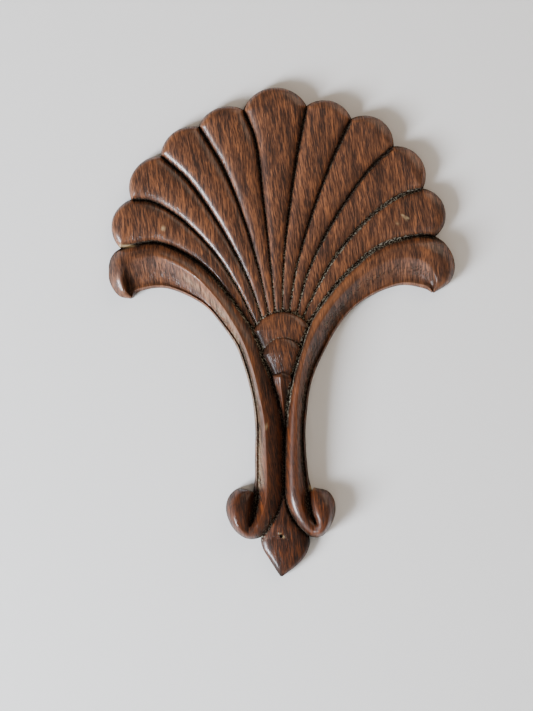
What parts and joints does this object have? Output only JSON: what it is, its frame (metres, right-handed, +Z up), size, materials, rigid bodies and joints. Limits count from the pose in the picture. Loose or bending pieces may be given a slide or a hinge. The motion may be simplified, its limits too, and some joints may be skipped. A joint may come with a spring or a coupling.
{
  "type": "carved wood applique",
  "caption": "Carved hardwood furniture applique: a shell-like fan of lobes on a banded stem that ends in outward-turned volutes and a pointed leaf, flat on its back.",
  "frame": {"origin": "on the flat back, on the middle line of the stem and half way up the whole height", "axes": "+Z up from the leaf's point to the fan's tip, the carved front towards -Y, the flat back in the plane y = 0, +X to the viewer's right"},
  "size_m": [0.1063, 0.0087, 0.15],
  "materials": {
    "stained_wood": "dark reddish-brown stained and waxed hardwood with fine open pores, satin, dusty in the grooves; plain sawn wood on the back"
  },
  "bodies": {
    "root": {"carved_applique": "stained_wood"}
  },
  "joints": []
}
